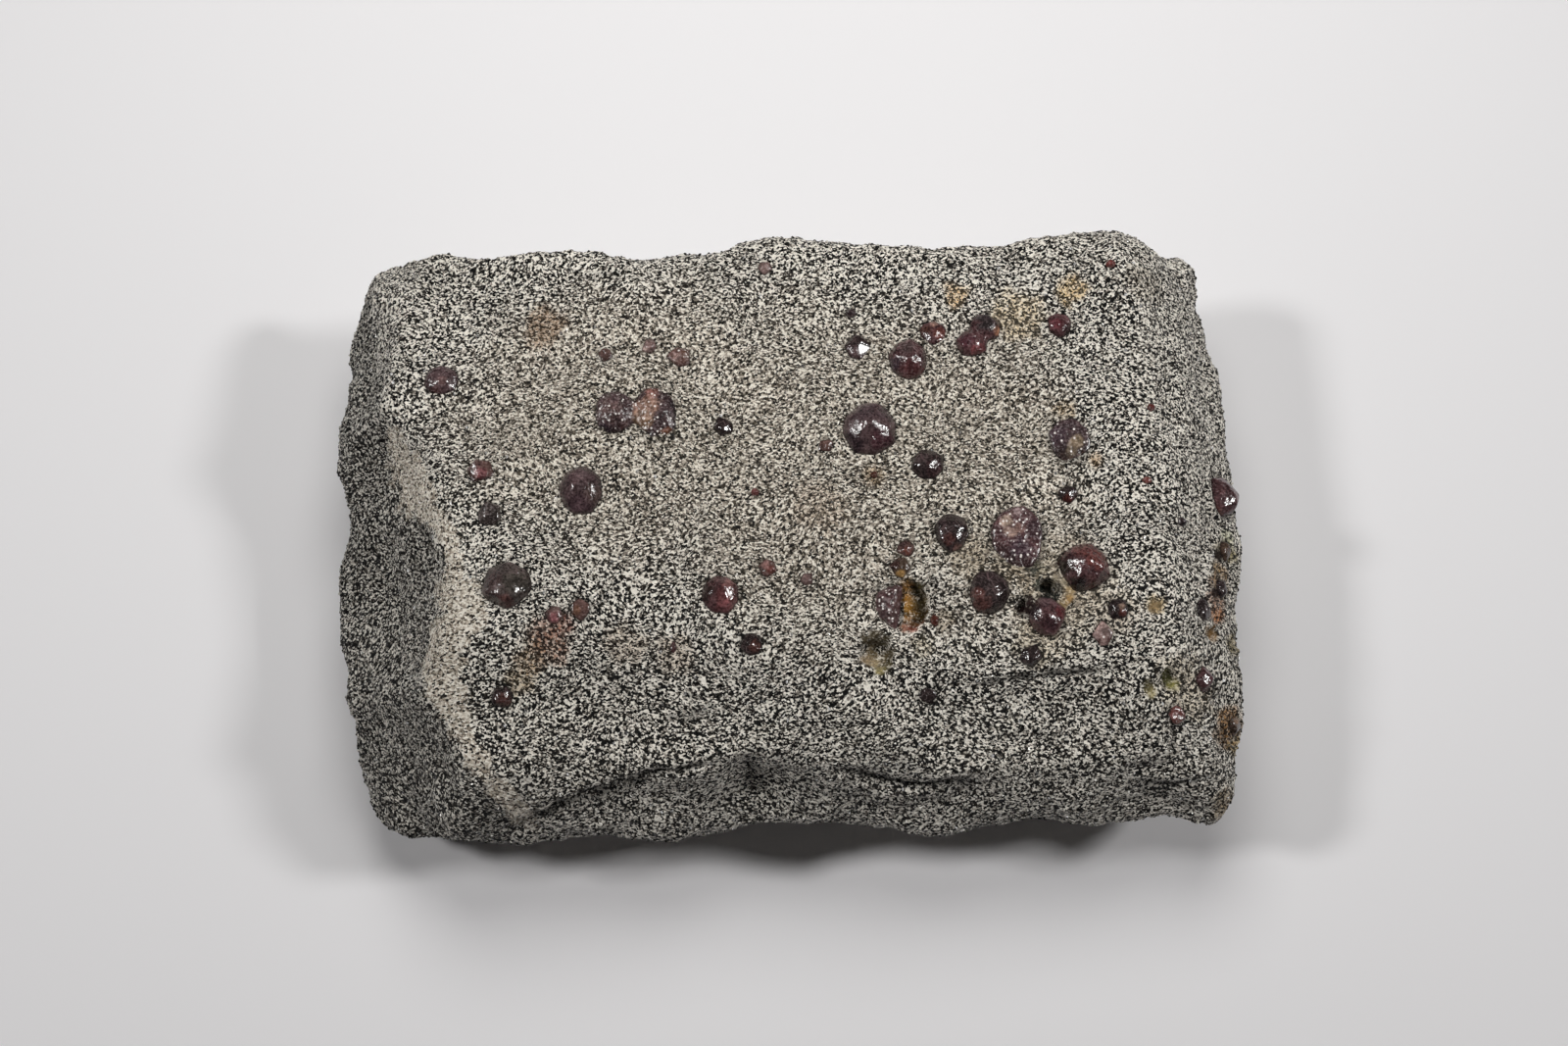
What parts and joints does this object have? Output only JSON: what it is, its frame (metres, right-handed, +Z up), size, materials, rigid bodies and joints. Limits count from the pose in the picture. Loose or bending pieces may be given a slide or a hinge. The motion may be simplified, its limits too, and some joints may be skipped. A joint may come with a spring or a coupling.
{
  "type": "garnet in matrix specimen",
  "caption": "Hammer-trimmed block of salt-and-pepper mica schist with dark red almandine garnets set in its top and sides; lies flat on its underside.",
  "frame": {"origin": "centre of the block's outline, on the surface that it lies on", "axes": "+X along the long side, +Y away from the viewer towards the straight back side, +Z up"},
  "size_m": [0.1225, 0.0822, 0.0303],
  "materials": {
    "schist": "rough broken face, fine salt-and-pepper grain with mica glints",
    "almandine": "vitreous, very dark red"
  },
  "bodies": {
    "root": {"matrix": "schist", "garnet_01": "almandine", "garnet_02": "almandine", "garnet_03": "almandine", "garnet_04": "almandine", "garnet_05": "almandine", "garnet_07": "almandine", "garnet_08": "almandine", "garnet_09": "almandine", "garnet_10": "almandine", "garnet_11": "almandine", "garnet_12": "almandine", "garnet_13": "almandine", "garnet_14": "almandine", "garnet_15": "almandine", "garnet_16": "almandine", "garnet_17": "almandine", "garnet_18": "almandine", "garnet_19": "almandine", "garnet_21": "almandine", "garnet_22": "almandine", "garnet_23": "almandine", "garnet_24": "almandine", "garnet_25": "almandine", "garnet_26": "almandine", "garnet_27": "almandine", "garnet_28": "almandine", "garnet_29": "almandine", "garnet_30": "almandine", "garnet_31": "almandine", "garnet_32": "almandine", "garnet_34": "almandine", "garnet_35": "almandine", "garnet_36": "almandine", "garnet_37": "almandine", "garnet_38": "almandine", "garnet_39": "almandine", "garnet_40": "almandine", "garnet_41": "almandine", "garnet_42": "almandine", "garnet_43": "almandine", "garnet_44": "almandine", "garnet_45": "almandine", "garnet_46": "almandine", "garnet_47": "almandine", "garnet_48": "almandine", "garnet_49": "almandine", "garnet_50": "almandine", "garnet_51": "almandine", "garnet_52": "almandine", "garnet_53": "almandine", "garnet_54": "almandine", "garnet_55": "almandine", "garnet_56": "almandine", "garnet_57": "almandine", "garnet_pair": "almandine", "garnet_twin": "almandine", "garnet_split": "almandine"}
  },
  "joints": []
}
